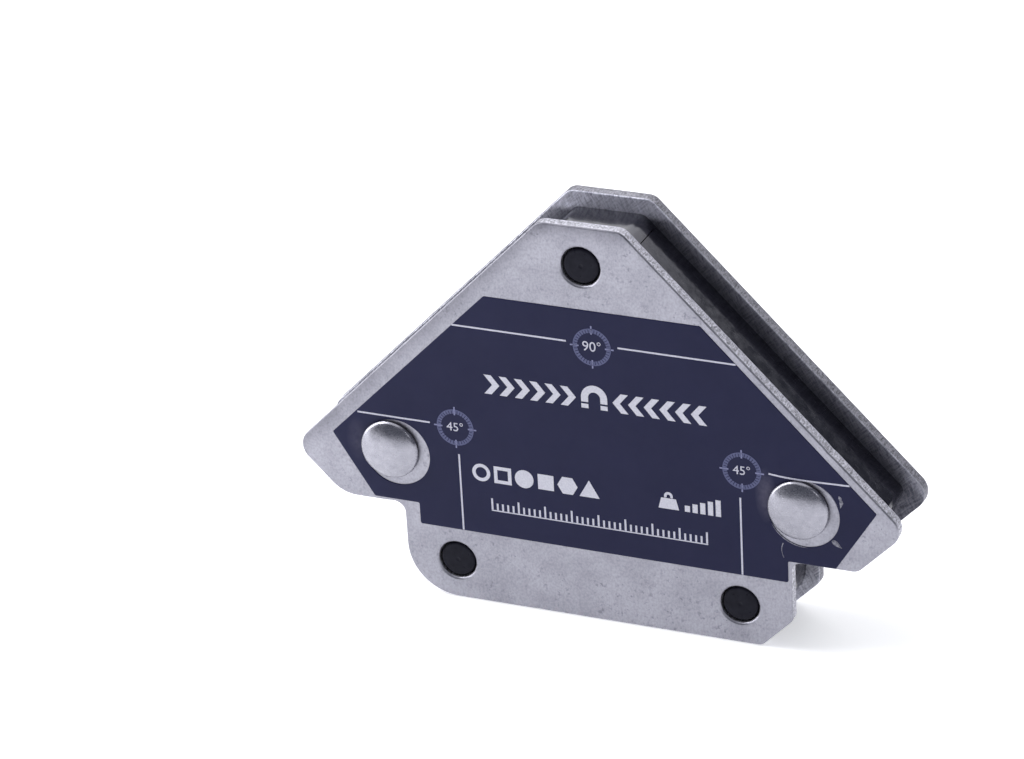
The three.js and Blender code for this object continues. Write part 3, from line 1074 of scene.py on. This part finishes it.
def digits(name, text, centre, size):
    """Angle numbers in Blender's own font, as a thin film."""
    curve = bpy.data.curves.new(name, "FONT")
    curve.body = text
    curve.size = size * MM
    curve.extrude = INK_T / 2 * MM
    curve.align_x = "CENTER"
    curve.align_y = "CENTER"
    curve.resolution_u = 6
    shape = bpy.data.objects.new(name, curve)
    bpy.context.scene.collection.objects.link(shape)
    data = bpy.data.meshes.new_from_object(shape)
    bpy.data.objects.remove(shape)
    data.name = name
    data.materials.clear()
    work = bmesh.new()
    work.from_mesh(data)
    bmesh.ops.remove_doubles(work, verts=work.verts, dist=MERGE_DISTANCE)
    work.to_mesh(data)
    work.free()
    x, z = on_plate([centre])[0]
    middle = Vector((x, LABEL_FACE - INK_T / 2, z))
    turned_up = Matrix.Rotation(LABEL_TURN, 4, "Y") @ Matrix.Rotation(math.pi / 2, 4, "X")
    data.transform(Matrix.Translation(middle * MM) @ turned_up)
    return place(data, name, [PALE_INK])


digits("label_number_90", "90°", SCALE_90, 2.2)
digits("label_number_45_right", "45°", SCALE_45["right"], 2.0)
digits("label_number_45_left", "45°", SCALE_45["left"], 2.0)


# ---- inner pieces --------------------------------------------------------------------------------

def finish_node(node, material):
    """Gives a CAD node that is shown as it is its material."""
    data = frame["nodes"][node].data
    data.materials.clear()
    data.materials.append(material)


finish_node("magnet_carrier", carrier_black())
ferrite_material = ferrite()
for node in ("magnet_top", "magnet_right", "magnet_left"):
    finish_node(node, ferrite_material)
sleeve_material = turned_steel()
for node in ("spacer_sleeve_right", "spacer_sleeve_left"):
    finish_node(node, sleeve_material)


# ---- stage, light and camera ---------------------------------------------------------------------

def floor():
    """A square of paper, in metres, that reaches past everything the camera sees."""
    half = 3.0
    corners = [(-half, -half, 0), (half, -half, 0), (half, half, 0), (-half, half, 0)]
    data = bpy.data.meshes.new("floor")
    data.from_pydata(corners, [], [(0, 1, 2, 3)])
    data.materials.append(pale_floor())
    piece = bpy.data.objects.new("floor", data)
    bpy.context.scene.collection.objects.link(piece)


def softbox(name, place_mm, size_mm, power, aim_mm=(0, 0, 30)):
    """A rectangular soft light that faces the aim."""
    lamp = bpy.data.lights.new(name, "AREA")
    lamp.shape = "RECTANGLE"
    lamp.size, lamp.size_y = size_mm[0] * MM, size_mm[1] * MM
    lamp.energy = power
    holder = bpy.data.objects.new(name, lamp)
    bpy.context.scene.collection.objects.link(holder)
    holder.location = Vector(place_mm) * MM
    toward = (Vector(aim_mm) - Vector(place_mm)).normalized()
    holder.rotation_euler = toward.to_track_quat("-Z", "Y").to_euler()


def world(strength):
    """Faint bluish light from all round."""
    scene_world = bpy.data.worlds.new("studio")
    scene_world.use_nodes = True
    background = scene_world.node_tree.nodes["Background"]
    background.inputs["Color"].default_value = (0.76, 0.81, 1.0, 1)
    background.inputs["Strength"].default_value = strength
    bpy.context.scene.world = scene_world


def camera():
    """Long lens, from the right and above, with a slight roll."""
    azimuth, elevation, roll = math.radians(24.70), math.radians(26.52), math.radians(-3.55)
    aim = Vector((-11.7, FRONT, 38.2))
    distance, lens = 608.0, 146.8
    level = math.cos(elevation)
    back = Vector((math.sin(azimuth) * level, -math.cos(azimuth) * level, math.sin(elevation)))
    right = (-back).cross(Vector((0, 0, 1))).normalized()
    up = right.cross(-back)
    turned_right = right * math.cos(roll) + up * math.sin(roll)
    turned_up = up * math.cos(roll) - right * math.sin(roll)
    view = bpy.data.cameras.new("camera")
    view.lens = lens
    view.sensor_width = 36.0
    view.clip_start = 0.01
    holder = bpy.data.objects.new("camera", view)
    bpy.context.scene.collection.objects.link(holder)
    axes = Matrix((turned_right, turned_up, back)).transposed().to_4x4()
    holder.matrix_world = Matrix.Translation((aim + back * distance) * MM) @ axes
    bpy.context.scene.camera = holder


floor()
world(0.15)
softbox("back_box", (150, 1150, 985), (2600, 900), 15, (150, 0, 985))
softbox("top_box", (-250, 150, 1000), (1700, 1700), 8)
softbox("left_box", (-800, -120, 260), (560, 560), 4.5, (0, 0, 60))
softbox("right_box", (550, -520, 485), (150, 150), 0.35, (0, 0, 30))
softbox("left_pool", (-260, -60, 300), (160, 160), 0.5, (-130, -40, 0))
camera()
bpy.context.scene.view_settings.view_transform = "Standard"

bpy.context.view_layer.update()
